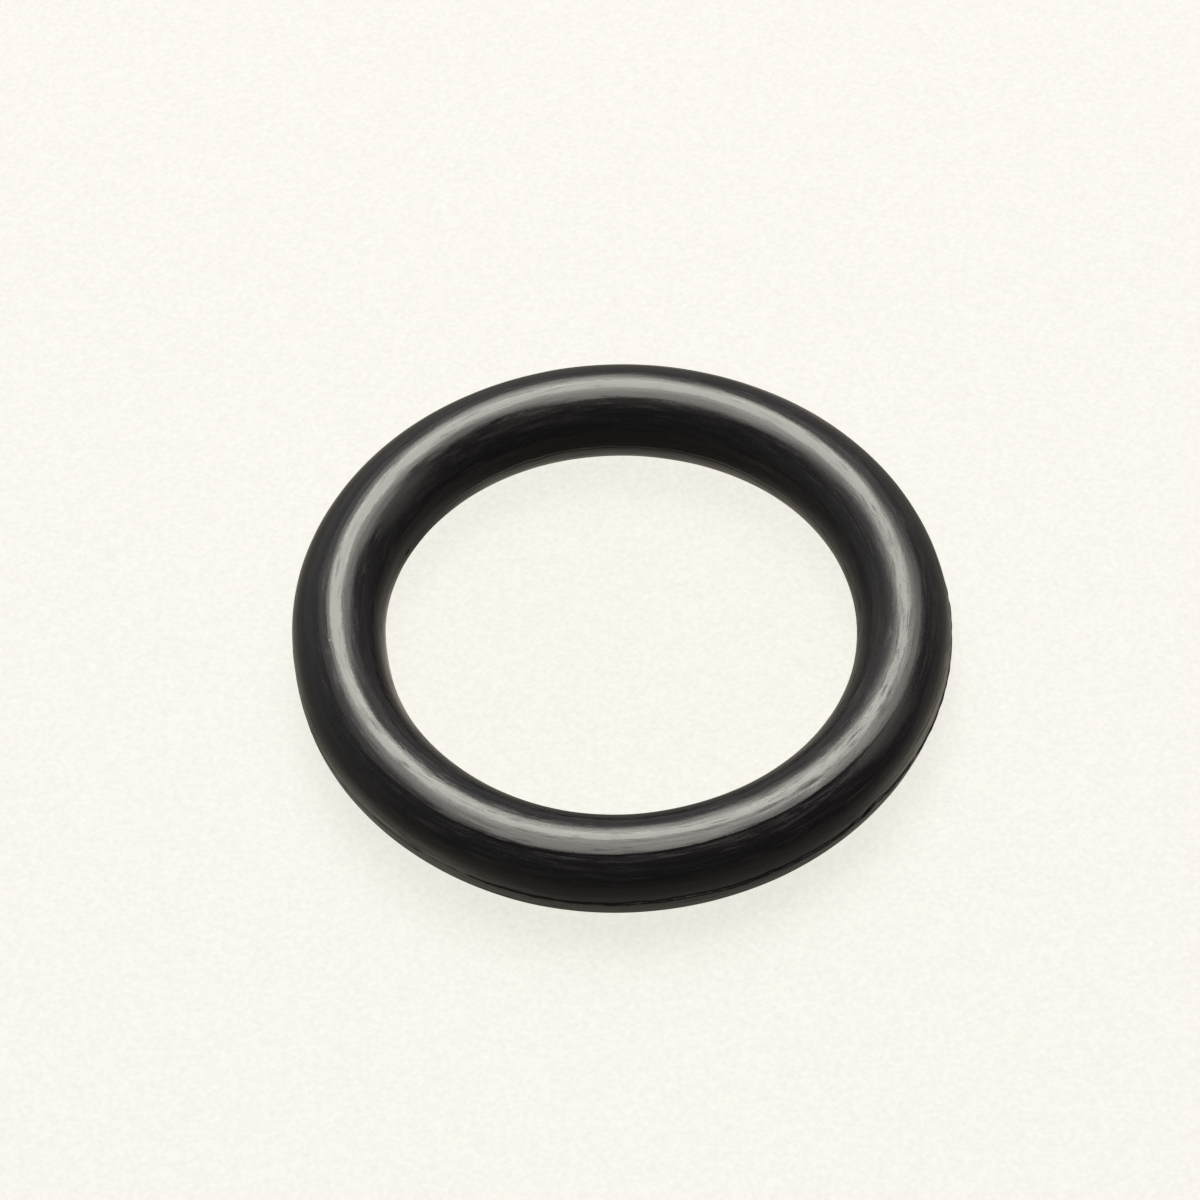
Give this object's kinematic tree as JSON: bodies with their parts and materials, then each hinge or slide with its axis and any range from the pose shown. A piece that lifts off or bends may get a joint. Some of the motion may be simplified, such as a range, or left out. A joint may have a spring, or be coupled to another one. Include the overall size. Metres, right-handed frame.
{
  "type": "rubber o-ring",
  "caption": "Black rubber O-ring of round section, moulded in one piece, with a trimmed flash line round the outside and the bore.",
  "frame": {"origin": "centre of the ring, which is the centre of its bore and of its bounding box", "axes": "+Z along the ring's own axis, up as it lies flat; X and Y lie in the mould's parting plane"},
  "size_m": [0.021, 0.021, 0.003],
  "materials": {
    "rubber": "satin, near-black"
  },
  "bodies": {
    "root": {"o_ring": "rubber"}
  },
  "joints": []
}
